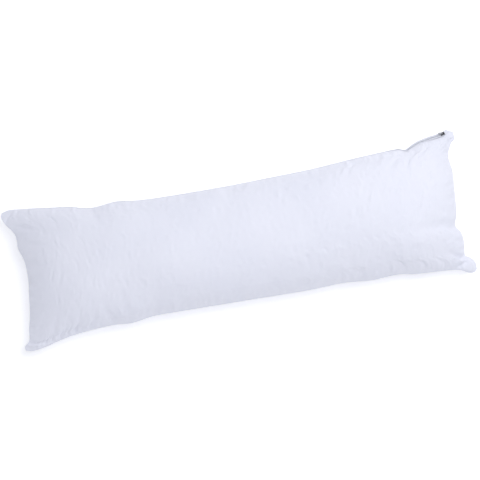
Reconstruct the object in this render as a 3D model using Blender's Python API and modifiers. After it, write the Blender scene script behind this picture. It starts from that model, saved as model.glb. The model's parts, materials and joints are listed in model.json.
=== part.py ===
"""Body pillow: a long filled cotton cover, closed by a zip along its far edge.

Metres, +Z up. X runs along the pillow and Y across it, with the zip on the +Y side. The pillow lies on
its back on a flat surface at Z = 0, and the origin is under the middle of its outline.
"""

import math

import bmesh
import bpy
import numpy as np
from mathutils import Matrix, Vector

MM = 0.001

# The two panels of the cover as they are cut, before filling.
CUT_LENGTH = 1300 * MM
CUT_WIDTH = 400 * MM

# The filling: how far each panel stands off the level of the seam, and how quickly it rises from it.
CROWN_RISE = 87 * MM
BELLY_DROP = 95 * MM
END_RISE_LENGTH = 245 * MM
SECTION_POWER = 2.15
SEAM_PINCH = 0.56
END_PINCH = 0.60
EAR_PINCH = 1.0

# Half the thickness of the sewn edge.
EDGE_HALF = 1.6 * MM

# Steps of the cover's grid, which is closer towards the seams, where the cloth is gathered.
LENGTH_STEPS = 92
WIDTH_STEPS = 24
LENGTH_CROWDING = 0.36
WIDTH_CROWDING = 0.40

# The seam where it turns at the four ears. Millimetres: x along, y across, z above the surface.
CORNERS = {
    "near_left": (-627, -195, 50),
    "near_right": (628, -189, 46),
    "far_left": (-634, 189, 62),
    "far_right": (635, 196, 57),
}

# The seam between the ears, drawn in by the filling and uneven where the cloth folds.
# Columns: x, y, z in millimetres.
NEAR_SEAM = (
    (-609, -199, 51),
    (-576, -195, 54),
    (-535, -185, 58),
    (-490, -176, 62),
    (-430, -170, 67),
    (-372, -168, 70),
    (-322, -171, 72),
    (-262, -163, 74),
    (-180, -163, 75),
    (0, -165, 76),
    (160, -167, 75),
    (262, -164, 74),
    (336, -170, 72),
    (410, -167, 69),
    (462, -174, 65),
    (535, -178, 59),
    (578, -183, 55),
    (603, -194, 50),
    (619, -196, 47),
)
FAR_SEAM = (
    (-608, 194, 61),
    (-556, 187, 62),
    (-495, 178, 65),
    (-445, 171, 68),
    (-405, 160, 71),
    (-372, 157, 73),
    (-318, 162, 74),
    (-262, 155, 76),
    (-180, 151, 77),
    (0, 150, 78),
    (120, 153, 77),
    (230, 156, 76),
    (336, 164, 74),
    (420, 169, 71),
    (468, 171, 68),
    (482, 169, 67),
    (495, 164, 66),
    (509, 170, 66),
    (530, 179, 65),
    (546, 183, 64),
    (568, 187, 63),
    (591, 190, 62),
    (606, 193, 61),
    (620, 200, 59),
)
LEFT_SEAM = (
    (-628, -184, 50),
    (-617, -175, 52),
    (-611, -164, 54),
    (-608, -140, 57),
    (-599, -100, 60),
    (-593, -50, 63),
    (-588, 0, 64),
    (-591, 46, 65),
    (-603, 84, 65),
    (-603, 104, 64),
    (-608, 128, 64),
    (-629, 158, 63),
    (-637, 178, 62),
)
RIGHT_SEAM = (
    (627, -170, 47),
    (616, -156, 49),
    (603, -147, 51),
    (603, -132, 54),
    (605, -104, 58),
    (602, -84, 60),
    (590, -62, 61),
    (600, -26, 63),
    (605, 25, 64),
    (611, 84, 63),
    (608, 120, 61),
    (610, 138, 60),
    (616, 152, 59),
    (624, 166, 58),
    (635, 176, 58),
)

# Folds that the seams pull into each panel, as soft troughs (depth below zero) or ridges.
# Columns: edge it starts from, distance along that edge, drift along the edge by its inner end,
# reach into the cloth, half width, depth. Millimetres.
UPPER_FOLDS = (
    ("far", 62, 30, 80, 10, -2.5),
    ("far", 120, 16, 55, 10, -2.0),
    ("far", 185, 12, 50, 11, -2.0),
    ("far", 268, -6, 60, 11, -3.5),
    ("far", 330, 10, 50, 12, -2.0),
    ("far", 398, -12, 60, 14, -2.5),
    ("far", 520, 14, 55, 20, -2.5),
    ("far", 655, -10, 60, 22, -2.5),
    ("far", 790, 12, 55, 20, -2.5),
    ("far", 905, -16, 60, 16, -2.5),
    ("far", 1004, -34, 85, 12, -3.5),
    ("far", 1072, -16, 55, 11, -2.5),
    ("far", 1136, -40, 95, 11, -5.5),
    ("far", 1180, -40, 85, 10, -3.0),
    ("far", 1218, -52, 110, 10, -3.5),
    ("far", 1256, -44, 95, 10, -3.0),
    ("near", 58, 40, 70, 10, -3.0),
    ("near", 105, 24, 50, 10, -3.5),
    ("near", 150, 18, 48, 10, -3.0),
    ("near", 196, 12, 46, 10, -3.5),
    ("near", 262, -26, 80, 12, -4.0),
    ("near", 318, -18, 62, 12, -3.5),
    ("near", 385, 10, 50, 15, -3.0),
    ("near", 470, -10, 52, 17, -2.5),
    ("near", 600, 12, 52, 20, -2.5),
    ("near", 735, -10, 50, 20, -2.5),
    ("near", 862, 12, 52, 18, -2.5),
    ("near", 968, -14, 56, 14, -3.0),
    ("near", 1038, 12, 50, 12, -3.0),
    ("near", 1092, -14, 55, 11, -3.5),
    ("near", 1150, -20, 62, 11, -3.5),
    ("near", 1208, -30, 70, 11, -3.5),
    ("left", 52, 26, 70, 10, -3.5),
    ("left", 104, 10, 50, 10, -2.5),
    ("left", 150, 4, 50, 10, -3.0),
    ("left", 186, 2, 48, 9, -2.5),
    ("left", 226, -4, 52, 10, -2.5),
    ("left", 298, -20, 80, 11, -4.5),
    ("left", 352, -42, 95, 11, -3.0),
    ("right", 46, 20, 66, 11, -4.5),
    ("right", 98, 6, 46, 10, -2.5),
    ("right", 138, 4, 64, 11, -3.6),
    ("right", 182, -2, 48, 9, -2.5),
    ("right", 216, -4, 46, 9, -2.5),
    ("right", 250, -8, 50, 9, -2.5),
    ("right", 300, -26, 75, 10, -3.0),
)
LOWER_FOLDS = (
    ("far", 150, 20, 70, 14, -4.0),
    ("far", 300, -12, 62, 17, -3.5),
    ("far", 480, 10, 58, 22, -3.0),
    ("far", 760, -10, 58, 24, -3.0),
    ("far", 985, 12, 62, 18, -3.5),
    ("far", 1140, -24, 80, 14, -4.5),
    ("near", 92, 30, 80, 13, -4.5),
    ("near", 215, 14, 66, 14, -4.0),
    ("near", 420, -12, 60, 20, -3.0),
    ("near", 660, 10, 55, 24, -3.0),
    ("near", 900, -10, 60, 20, -3.5),
    ("near", 1120, -20, 75, 14, -4.5),
    ("left", 90, 14, 68, 12, -4.0),
    ("left", 205, 4, 62, 12, -4.0),
    ("left", 310, -16, 78, 12, -4.5),
    ("right", 86, 12, 66, 12, -4.0),
    ("right", 200, 2, 60, 12, -4.0),
    ("right", 305, -16, 78, 12, -4.5),
)
FOLD_START = 11 * MM

# Slow swells of the crown, where the filling has gathered into lumps.
# Columns: waves along the length, waves across, phase in turns, height in millimetres.
SWELLS = (
    (2.3, 0.6, 0.10, 2.6),
    (4.1, 1.1, 0.45, 1.8),
    (6.7, -1.6, 0.80, 1.2),
)

# The zip. Its band leaves the side of the pillow and rolls over to face up at the right-hand ear.
# Columns: share of the far seam, half the band's width, roll towards up in degrees, lift off the
# cover. Millimetres.
ZIP_BAND = (
    (0.000, 1.6, 0, 0.4),
    (0.030, 1.6, 0, 0.4),
    (0.062, 6.6, 0, 0.4),
    (0.150, 6.6, 6, 0.4),
    (0.550, 6.6, 4, 0.4),
    (0.840, 6.6, 8, 0.4),
    (0.905, 6.6, 48, 0.4),
    (0.935, 6.6, 62, 0.4),
    (0.955, 6.6, 66, 2.1),
    (0.985, 6.4, 66, 2.1),
    (0.993, 1.6, 30, 0.4),
    (1.000, 1.6, 0, 0.4),
)
ZIP_FIRST = 0.064
ZIP_LAST = 0.985
TAPE_THICK = 0.9 * MM
TAPE_INNER = 2.75 * MM
TAPE_OUTER = 6.2 * MM
CHAIN_HALF_WIDTH = 2.35 * MM
CHAIN_HALF_THICK = 1.15 * MM
CHAIN_SIDES = 8

# The slider, parked at the right-hand end, and its pull.
SLIDER_AT = 0.974
SLIDER_LENGTH = 12.0 * MM
SLIDER_WIDTH = 9.0 * MM
SLIDER_CORNER = 1.3 * MM
PLATE_THICK = 1.2 * MM
CHAIN_ROOM = 0.45 * MM
POST_WIDTH = 3.0 * MM
POST_START = 1.2 * MM
RING_MAJOR = 2.5 * MM
RING_MINOR = 0.7 * MM
RING_SINK = 1.1 * MM
PULL_LENGTH = 13.0 * MM
PULL_WIDTH = 6.0 * MM
PULL_THICK = 1.3 * MM
PULL_CORNER = 2.0 * MM
PULL_EYE_RADIUS = 1.5 * MM
PULL_ROOT_BAR = 1.1 * MM
PULL_LEAN = math.radians(20)
PULL_TURN = math.radians(14)

# How far a cutter runs past what it cuts.
CUT_PAST = 2 * MM


def srgb(hex_colour):
    """A web colour as linear red, green and blue."""
    parts = [int(hex_colour[i : i + 2], 16) / 255 for i in (0, 2, 4)]
    return [p / 12.92 if p <= 0.04045 else ((p + 0.055) / 1.055) ** 2.4 for p in parts]


def make_material(name, hex_colour, roughness, metallic=0.0):
    """A Principled BSDF with one colour."""
    material = bpy.data.materials.new(name)
    material.use_nodes = True
    shader = material.node_tree.nodes["Principled BSDF"]
    shader.inputs["Base Color"].default_value = (*srgb(hex_colour), 1.0)
    shader.inputs["Roughness"].default_value = roughness
    shader.inputs["Metallic"].default_value = metallic
    return material


def add_object(name, mesh, material, smooth_angle=40):
    """Links a mesh as a named object with one material, shaded smooth but for its sharp edges."""
    mesh.materials.clear()
    mesh.materials.append(material)
    mesh.shade_smooth()
    mesh.set_sharp_from_angle(angle=math.radians(smooth_angle))
    obj = bpy.data.objects.new(name, mesh)
    bpy.data.collections["body_pillow"].objects.link(obj)
    return obj


def crowded(share, amount):
    """Moves even shares from 0 to 1 towards both ends of the range."""
    return share - amount * np.sin(2 * math.pi * share) / (2 * math.pi)


class SeamCurve:
    """A smooth curve through a table's rows, read by its share of the whole length."""

    SAMPLES_PER_ROW = 24

    def __init__(self, start, rows, end):
        knots = np.array([CORNERS[start], *rows, CORNERS[end]], float) * MM
        before = 2 * knots[0] - knots[1]
        after = 2 * knots[-1] - knots[-2]
        chain = np.vstack([before, knots, after])
        step = np.linspace(0, 1, self.SAMPLES_PER_ROW, endpoint=False)[:, None]
        points = []
        for a, b, c, d in zip(chain, chain[1:], chain[2:], chain[3:]):
            linear = c - a
            square = 2 * a - 5 * b + 4 * c - d
            cube = 3 * b - a - 3 * c + d
            points.append(b + 0.5 * (linear * step + square * step**2 + cube * step**3))
        self.points = np.vstack([*points, knots[-1:]])
        run = np.linalg.norm(np.diff(self.points, axis=0), axis=1)
        self.share = np.concatenate([[0], np.cumsum(run)]) / run.sum()

    def at(self, share):
        """Points at these shares of the curve, as rows of x, y, z."""
        return np.stack([np.interp(share, self.share, self.points[:, k]) for k in range(3)], axis=-1)


NEAR = SeamCurve("near_left", NEAR_SEAM, "near_right")
FAR = SeamCurve("far_left", FAR_SEAM, "far_right")
LEFT = SeamCurve("near_left", LEFT_SEAM, "far_left")
RIGHT = SeamCurve("near_right", RIGHT_SEAM, "far_right")


def zip_band(share):
    """Half width, roll and lift of the zip's band at these shares of the far seam."""
    table = np.array(ZIP_BAND)
    half = np.interp(share, table[:, 0], table[:, 1]) * MM
    roll = np.radians(np.interp(share, table[:, 0], table[:, 2]))
    lift = np.interp(share, table[:, 0], table[:, 3]) * MM
    return half, roll, lift


def band_axes(roll):
    """The band's two directions: off the cover, and across the band towards the upper panel."""
    zero = np.zeros_like(roll)
    off = np.stack([zero, np.cos(roll), np.sin(roll)], axis=-1)
    across = np.stack([zero, -np.sin(roll), np.cos(roll)], axis=-1)
    return off, across


def sewn_edge(u, v, side):
    """A Coons patch between the four seams: where a panel would lie without any filling."""
    half, roll, _ = zip_band(u)
    _, across = band_axes(roll)
    up = np.array([0, 0, 1.0])
    near = NEAR.at(u) + side * EDGE_HALF * up
    far = FAR.at(u) + side * half[:, None] * across
    left = LEFT.at(v) + side * EDGE_HALF * up
    right = RIGHT.at(v) + side * EDGE_HALF * up
    corner = {key: np.array(point) * MM + side * EDGE_HALF * up for key, point in CORNERS.items()}
    u, v = u[:, None], v[:, None]
    along = (1 - v) * near + v * far
    cross = (1 - u) * left + u * right
    shared = (
        (1 - u) * (1 - v) * corner["near_left"]
        + u * (1 - v) * corner["near_right"]
        + (1 - u) * v * corner["far_left"]
        + u * v * corner["far_right"]
    )
    return along + cross - shared


def fullness(u, v):
    """How far the filling lifts a panel: 0 at the seams and 1 over the middle."""
    from_middle = np.abs(2 * v - 1)
    section = (1 - from_middle**SECTION_POWER) ** SEAM_PINCH
    from_end = np.minimum(u, 1 - u) * CUT_LENGTH / END_RISE_LENGTH
    pinch = END_PINCH + (EAR_PINCH - END_PINCH) * from_middle**2
    ends = (1 - (1 - np.clip(from_end, 0, 1)) ** 2) ** pinch
    return section * ends


def fold_depth(u, v, folds):
    """The folds' depth off the smooth panel, in metres."""
    length, width = u * CUT_LENGTH, v * CUT_WIDTH
    places = {
        "far": (length, CUT_WIDTH - width),
        "near": (length, width),
        "left": (width, length),
        "right": (width, CUT_LENGTH - length),
    }
    depth = np.zeros_like(u)
    for edge, at, drift, reach, half_width, height in folds:
        along, away = places[edge]
        middle = (at + drift * np.minimum(away / (reach * MM), 1)) * MM
        across = np.exp(-(((along - middle) / (half_width * MM)) ** 2))
        inward = (1 - np.exp(-away / FOLD_START)) * np.exp(-((away / (reach * MM)) ** 2))
        depth += height * MM * across * inward
    return depth


def swell(u, v):
    """The slow swells of the crown, in metres."""
    height = np.zeros_like(u)
    for along, across, phase, size in SWELLS:
        height += size * MM * np.sin(2 * math.pi * (along * u + across * v + phase))
    return height


def smooth_panel(u, v, side):
    """The filled panel without its folds. Side is 1 for the upper panel and -1 for the lower."""
    points = sewn_edge(u, v, side)
    full = fullness(u, v)
    if side > 0:
        points[:, 2] += (CROWN_RISE + swell(u, v)) * full
    else:
        points[:, 2] -= BELLY_DROP * full
    return points


def panel_points(u, v, side):
    """The panel with its folds, pressed flat where it lies on the surface."""
    step = 1e-4
    inner_u, inner_v = np.clip(u, step, 1 - step), np.clip(v, step, 1 - step)
    along = smooth_panel(inner_u + step, inner_v, side) - smooth_panel(inner_u - step, inner_v, side)
    across = smooth_panel(inner_u, inner_v + step, side) - smooth_panel(inner_u, inner_v - step, side)
    normal = np.cross(along, across) * side
    normal /= np.linalg.norm(normal, axis=1)[:, None]
    folds = UPPER_FOLDS if side > 0 else LOWER_FOLDS
    inside = (u > 0) & (u < 1) & (v > 0) & (v < 1)
    depth = np.where(inside, fold_depth(u, v, folds), 0)
    points = smooth_panel(u, v, side) + normal * depth[:, None]
    points[:, 2] = np.maximum(points[:, 2], 0)
    return points


def outline_centre():
    """The middle of the seam's outline, which lies over the origin."""
    outline = np.vstack([NEAR.points, FAR.points, LEFT.points, RIGHT.points])
    return (outline.min(axis=0) + outline.max(axis=0)) / 2 * np.array([1, 1, 0])


def build_cover():
    """The filled cover: a flat grid drawn out into a thin box, whose two sides become the panels."""
    bm = bmesh.new()
    bmesh.ops.create_grid(bm, x_segments=LENGTH_STEPS, y_segments=WIDTH_STEPS, size=0.5)
    drawn = bmesh.ops.extrude_face_region(bm, geom=bm.faces[:])["geom"]
    upper = {element for element in drawn if isinstance(element, bmesh.types.BMVert)}
    verts = list(bm.verts)
    u = crowded(np.array([p.co.x + 0.5 for p in verts]), LENGTH_CROWDING)
    v = crowded(np.array([p.co.y + 0.5 for p in verts]), WIDTH_CROWDING)
    u, v = np.clip(u, 0, 1), np.clip(v, 0, 1)
    is_upper = np.array([p in upper for p in verts])
    points = np.where(is_upper[:, None], panel_points(u, v, 1), panel_points(u, v, -1))
    points -= outline_centre()
    for vert, point in zip(verts, points):
        vert.co = point
    bmesh.ops.recalc_face_normals(bm, faces=bm.faces[:])
    mesh = bpy.data.meshes.new("filled_cover")
    bm.to_mesh(mesh)
    bm.free()
    cloth = make_material("white_cotton", "F1F3FA", 0.9)
    return add_object("filled_cover", mesh, cloth, smooth_angle=60)


def zip_stations():
    """Shares of the far seam at the cover's own grid lines, so that the zip runs parallel to it."""
    shares = crowded(np.linspace(0, 1, LENGTH_STEPS + 1), LENGTH_CROWDING)
    return shares[(shares > ZIP_FIRST) & (shares < ZIP_LAST)]


def band_point(share, off_cover, across):
    """Points this far off the cover and across the band."""
    _, roll, lift = zip_band(share)
    off, side = band_axes(roll)
    centre = FAR.at(share) - outline_centre()
    return centre + off * (lift + off_cover)[:, None] + side * across[:, None]


def loft(name, section, material):
    """One closed solid along the zip, whose section lists its corners as (off the cover, across)."""
    shares = zip_stations()
    rings = [
        band_point(shares, np.full_like(shares, off), np.full_like(shares, across))
        for off, across in section
    ]
    bm = bmesh.new()
    grid = [[bm.verts.new(ring[k]) for ring in rings] for k in range(len(shares))]
    for here, there in zip(grid, grid[1:]):
        for a in range(len(section)):
            b = (a + 1) % len(section)
            bm.faces.new((here[a], here[b], there[b], there[a]))
    bm.faces.new(list(reversed(grid[0])))
    bm.faces.new(grid[-1])
    bmesh.ops.recalc_face_normals(bm, faces=bm.faces[:])
    mesh = bpy.data.meshes.new(name)
    bm.to_mesh(mesh)
    bm.free()
    return add_object(name, mesh, material, smooth_angle=50)


def build_zip_tapes():
    """The two woven tapes, one sewn to each panel."""
    tape_cloth = make_material("zip_tape_polyester", "E4E6EF", 0.8)
    for name, side in (("zip_tape_upper", 1), ("zip_tape_lower", -1)):
        inner, outer = side * TAPE_INNER, side * TAPE_OUTER
        section = [(0, inner), (0, outer), (TAPE_THICK, outer), (TAPE_THICK, inner)]
        loft(name, section, tape_cloth)


def build_zip_chain():
    """The closed chain of nylon teeth between the tapes, up to the slider's post."""
    turn = 2 * math.pi / CHAIN_SIDES
    section = [
        (
            CHAIN_HALF_THICK * (1 + math.cos(turn * (k + 0.5))),
            CHAIN_HALF_WIDTH * math.sin(turn * (k + 0.5)),
        )
        for k in range(CHAIN_SIDES)
    ]
    nylon = make_material("zip_chain_nylon", "ECEDF3", 0.5)
    chain = loft("zip_chain", section, nylon)
    cut_away_past_post(chain)
    return chain


def slider_frame():
    """The slider's place and axes: X along the chain, Y across it, Z off the cover."""
    reach = 0.5 * SLIDER_LENGTH / CUT_LENGTH
    shares = np.array([SLIDER_AT - reach, SLIDER_AT, SLIDER_AT + reach])
    middle = np.full(3, CHAIN_HALF_THICK)
    points = band_point(shares, middle, np.zeros(3))
    _, roll, _ = zip_band(shares[1:2])
    off, _ = band_axes(roll)
    along = Vector(points[2] - points[0]).normalized()
    off_cover = Vector(off[0])
    off_cover = (off_cover - along * off_cover.dot(along)).normalized()
    across = off_cover.cross(along)
    axes = Matrix((along, across, off_cover)).transposed()
    return Matrix.Translation(Vector(points[1])) @ axes.to_4x4()


def add_block(name, low, high):
    """A box between two corners, as a mesh object."""
    bpy.ops.mesh.primitive_cube_add(size=1)
    block = bpy.context.object
    block.name = name
    low, high = Vector(low), Vector(high)
    size = high - low
    block.data.transform(Matrix.Translation((low + high) / 2) @ Matrix.Diagonal((*size, 1)))
    return block


def use_cutter(target, cutter, operation="DIFFERENCE"):
    """Cuts target with cutter, or joins it, for good, and removes the cutter."""
    modifier = target.modifiers.new(operation.lower(), "BOOLEAN")
    modifier.operation = operation
    modifier.object = cutter
    made = bpy.data.meshes.new_from_object(target.evaluated_get(bpy.context.evaluated_depsgraph_get()))
    target.modifiers.clear()
    target.data = made
    bpy.data.objects.remove(cutter)


def cut_away_past_post(chain):
    """Ends the chain at the slider's post, where its two rows of teeth would part."""
    room = SLIDER_LENGTH
    end = (1 - SLIDER_AT) * CUT_LENGTH + CUT_PAST
    cutter = add_block("past_post", (POST_START - CHAIN_ROOM, -room, -room), (end, room, room))
    cutter.data.transform(slider_frame())
    bpy.context.view_layer.update()
    use_cutter(chain, cutter)


def build_slider():
    """Two plates joined by a post, with a ring on top for the pull."""
    half_length, half_width = SLIDER_LENGTH / 2, SLIDER_WIDTH / 2
    inner = CHAIN_HALF_THICK + CHAIN_ROOM
    outer = inner + PLATE_THICK
    tape_low = -CHAIN_HALF_THICK - CHAIN_ROOM
    tape_high = TAPE_THICK - CHAIN_HALF_THICK + CHAIN_ROOM
    body = add_block("zip_slider", (-half_length, -half_width, -outer), (half_length, half_width, outer))
    corner = body.modifiers.new("corners", "BEVEL")
    corner.width = SLIDER_CORNER
    corner.segments = 3
    body.data = bpy.data.meshes.new_from_object(
        body.evaluated_get(bpy.context.evaluated_depsgraph_get())
    )
    body.modifiers.clear()
    bpy.ops.mesh.primitive_torus_add(
        major_radius=RING_MAJOR,
        minor_radius=RING_MINOR,
        major_segments=20,
        minor_segments=8,
        rotation=(math.radians(90), 0, 0),
        location=(0, 0, outer + RING_SINK),
    )
    use_cutter(body, bpy.context.object, "UNION")
    past = half_length + CUT_PAST
    chain_room = CHAIN_HALF_WIDTH + CHAIN_ROOM
    use_cutter(body, add_block("channel", (-past, -chain_room, -inner), (POST_START, chain_room, inner)))
    for side in (-1, 1):
        low, high = sorted((side * POST_WIDTH / 2, side * (half_width + CUT_PAST)))
        use_cutter(body, add_block("tape_slot", (-past, low, tape_low), (past, high, tape_high)))
    body.data.transform(slider_frame())
    return finish_piece(body, "zip_slider", make_material("slider_black_lacquer", "2B2C30", 0.35, 0.8))


def build_pull():
    """A flat tab with a round end and an eye, looped through the slider's ring."""
    half_width = PULL_WIDTH / 2
    outer = CHAIN_HALF_THICK + CHAIN_ROOM + PLATE_THICK
    root = -PULL_ROOT_BAR - PULL_EYE_RADIUS
    tab = add_block(
        "zip_pull",
        (root, -half_width, -PULL_THICK / 2),
        (root + PULL_LENGTH, half_width, PULL_THICK / 2),
    )
    corner = tab.modifiers.new("corners", "BEVEL")
    corner.width = PULL_CORNER
    corner.segments = 4
    corner.limit_method = "WEIGHT"
    weights = tab.data.attributes.new("bevel_weight_edge", "FLOAT", "EDGE")
    for edge in tab.data.edges:
        a, b = (tab.data.vertices[k].co for k in edge.vertices)
        upright = abs(a.z - b.z) > PULL_THICK / 2
        weights.data[edge.index].value = 1.0 if upright else 0.0
    tab.data = bpy.data.meshes.new_from_object(
        tab.evaluated_get(bpy.context.evaluated_depsgraph_get())
    )
    tab.modifiers.clear()
    bpy.ops.mesh.primitive_cylinder_add(vertices=20, radius=PULL_EYE_RADIUS, depth=10 * PULL_THICK)
    use_cutter(tab, bpy.context.object)
    eye = Vector((-RING_MAJOR * math.cos(PULL_LEAN), 0, RING_MAJOR * math.sin(PULL_LEAN)))
    eye.z += outer + RING_SINK
    lean = Matrix.Rotation(-PULL_TURN, 4, "Z") @ Matrix.Rotation(math.pi + PULL_LEAN, 4, "Y")
    tab.data.transform(slider_frame() @ Matrix.Translation(eye) @ lean)
    return finish_piece(tab, "zip_pull", make_material("pull_grey_lacquer", "8E9096", 0.4))


def finish_piece(obj, name, material):
    """Moves a piece made with primitives into the pillow's collection under its own name."""
    mesh = obj.data
    bpy.data.objects.remove(obj)
    mesh.name = name
    return add_object(name, mesh, material, smooth_angle=35)


def main():
    for obj in list(bpy.data.objects):
        bpy.data.objects.remove(obj)
    collection = bpy.data.collections.new("body_pillow")
    bpy.context.scene.collection.children.link(collection)
    build_cover()
    build_zip_tapes()
    build_zip_chain()
    build_slider()
    build_pull()


main()
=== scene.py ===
"""Body pillow: a long white cotton cover round a fibre filling, closed by a zip along its far edge.

Metres, +Z up. The part's solids give every piece its place and size, and this script gives the pillow its
cloth, thread, teeth and metal. X runs along the pillow, and the zip is on its +Y side.
"""

import json
import math

import bpy
import numpy as np
from mathutils import Matrix, Vector

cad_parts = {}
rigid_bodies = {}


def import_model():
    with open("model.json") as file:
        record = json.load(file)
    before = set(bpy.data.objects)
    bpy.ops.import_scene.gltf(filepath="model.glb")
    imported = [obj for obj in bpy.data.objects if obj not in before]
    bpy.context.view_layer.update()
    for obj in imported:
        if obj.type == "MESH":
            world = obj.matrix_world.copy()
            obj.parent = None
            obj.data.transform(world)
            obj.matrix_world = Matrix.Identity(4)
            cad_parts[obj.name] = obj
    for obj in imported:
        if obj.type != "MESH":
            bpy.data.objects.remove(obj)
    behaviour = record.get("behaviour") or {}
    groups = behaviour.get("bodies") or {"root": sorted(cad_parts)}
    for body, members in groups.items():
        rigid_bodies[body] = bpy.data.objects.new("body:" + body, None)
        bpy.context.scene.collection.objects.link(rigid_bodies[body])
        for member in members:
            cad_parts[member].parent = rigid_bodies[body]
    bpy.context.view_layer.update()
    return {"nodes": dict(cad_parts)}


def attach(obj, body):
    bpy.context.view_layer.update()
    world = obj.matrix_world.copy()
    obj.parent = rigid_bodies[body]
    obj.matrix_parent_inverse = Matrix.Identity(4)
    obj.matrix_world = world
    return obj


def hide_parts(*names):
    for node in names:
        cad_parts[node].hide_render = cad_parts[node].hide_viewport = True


for leftover in list(bpy.data.objects):
    bpy.data.objects.remove(leftover)
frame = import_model()


# ------------------------------------------------------------------------------------------------
# The filled cover. Two panels of white cotton percale, cut 40 x 130 cm, are sewn face to face, turned
# right side out and filled with loose polyester fibre. The filling rounds the panels up and draws the
# long seams in, and the spare cloth beside each seam gathers into folds.
# ------------------------------------------------------------------------------------------------

MM = 0.001
CUT_LENGTH = 1300 * MM
CUT_WIDTH = 400 * MM

# How far the filling holds each panel off the level of the seam, and how quickly it rises from it.
CROWN_RISE = 87 * MM
BELLY_DROP = 95 * MM
END_RISE_LENGTH = 245 * MM
SECTION_POWER = 2.15
SEAM_PINCH = 0.56
END_PINCH = 0.60
EAR_PINCH = 1.0
EDGE_HALF = 1.6 * MM

# The seam where it turns at the four ears. Millimetres: x along, y across, z above the floor.
CORNERS = {
    "near_left": (-627, -195, 50),
    "near_right": (628, -189, 46),
    "far_left": (-634, 189, 62),
    "far_right": (635, 196, 57),
}

# The seam between the ears. Columns: x, y, z in millimetres.
NEAR_SEAM = (
    (-609, -199, 51),
    (-576, -195, 54),
    (-535, -185, 58),
    (-490, -176, 62),
    (-430, -170, 67),
    (-372, -168, 70),
    (-322, -171, 72),
    (-262, -163, 74),
    (-180, -163, 75),
    (0, -165, 76),
    (160, -167, 75),
    (262, -164, 74),
    (336, -170, 72),
    (410, -167, 69),
    (462, -174, 65),
    (535, -178, 59),
    (578, -183, 55),
    (603, -194, 50),
    (619, -196, 47),
)
FAR_SEAM = (
    (-608, 194, 61),
    (-556, 187, 62),
    (-495, 178, 65),
    (-445, 171, 68),
    (-405, 160, 71),
    (-372, 157, 73),
    (-318, 162, 74),
    (-262, 155, 76),
    (-180, 151, 77),
    (0, 150, 78),
    (120, 153, 77),
    (230, 156, 76),
    (336, 164, 74),
    (420, 169, 71),
    (468, 171, 68),
    (482, 169, 67),
    (495, 164, 66),
    (509, 170, 66),
    (530, 179, 65),
    (546, 183, 64),
    (568, 187, 63),
    (591, 190, 62),
    (606, 193, 61),
    (620, 200, 59),
)
LEFT_SEAM = (
    (-628, -184, 50),
    (-617, -175, 52),
    (-611, -164, 54),
    (-608, -140, 57),
    (-599, -100, 60),
    (-593, -50, 63),
    (-588, 0, 64),
    (-591, 46, 65),
    (-603, 84, 65),
    (-603, 104, 64),
    (-608, 128, 64),
    (-629, 158, 63),
    (-637, 178, 62),
)
RIGHT_SEAM = (
    (627, -170, 47),
    (616, -156, 49),
    (603, -147, 51),
    (603, -132, 54),
    (605, -104, 58),
    (602, -84, 60),
    (590, -62, 61),
    (600, -26, 63),
    (605, 25, 64),
    (611, 84, 63),
    (608, 120, 61),
    (610, 138, 60),
    (616, 152, 59),
    (624, 166, 58),
    (635, 176, 58),
)

# The main folds, as soft troughs (depth below zero) or ridges. Columns: edge it starts from, distance
# along that edge, drift along the edge by its inner end, reach into the cloth, half width, depth.
# Millimetres.
UPPER_FOLDS = (
    ("far", 62, 30, 80, 10, -2.5),
    ("far", 120, 16, 55, 10, -2.0),
    ("far", 185, 12, 50, 11, -2.0),
    ("far", 268, -6, 60, 11, -3.5),
    ("far", 330, 10, 50, 12, -2.0),
    ("far", 398, -12, 60, 14, -2.5),
    ("far", 520, 14, 55, 20, -2.5),
    ("far", 655, -10, 60, 22, -2.5),
    ("far", 790, 12, 55, 20, -2.5),
    ("far", 905, -16, 60, 16, -2.5),
    ("far", 1004, -34, 85, 12, -3.5),
    ("far", 1072, -16, 55, 11, -2.5),
    ("far", 1136, -40, 95, 11, -5.5),
    ("far", 1180, -40, 85, 10, -3.0),
    ("far", 1218, -52, 110, 10, -3.5),
    ("far", 1256, -44, 95, 10, -3.0),
    ("near", 58, 40, 70, 10, -3.0),
    ("near", 105, 24, 50, 10, -3.5),
    ("near", 150, 18, 48, 10, -3.0),
    ("near", 196, 12, 46, 10, -3.5),
    ("near", 262, -26, 80, 12, -4.0),
    ("near", 318, -18, 62, 12, -3.5),
    ("near", 385, 10, 50, 15, -3.0),
    ("near", 470, -10, 52, 17, -2.5),
    ("near", 600, 12, 52, 20, -2.5),
    ("near", 735, -10, 50, 20, -2.5),
    ("near", 862, 12, 52, 18, -2.5),
    ("near", 968, -14, 56, 14, -3.0),
    ("near", 1038, 12, 50, 12, -3.0),
    ("near", 1092, -14, 55, 11, -3.5),
    ("near", 1150, -20, 62, 11, -3.5),
    ("near", 1208, -30, 70, 11, -3.5),
    ("left", 52, 26, 70, 10, -3.5),
    ("left", 104, 10, 50, 10, -2.5),
    ("left", 150, 4, 50, 10, -3.0),
    ("left", 186, 2, 48, 9, -2.5),
    ("left", 226, -4, 52, 10, -2.5),
    ("left", 298, -20, 80, 11, -4.5),
    ("left", 352, -42, 95, 11, -3.0),
    ("right", 46, 20, 66, 11, -4.5),
    ("right", 98, 6, 46, 10, -2.5),
    ("right", 138, 4, 64, 11, -3.6),
    ("right", 182, -2, 48, 9, -2.5),
    ("right", 216, -4, 46, 9, -2.5),
    ("right", 250, -8, 50, 9, -2.5),
    ("right", 300, -26, 75, 10, -3.0),
)
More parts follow.
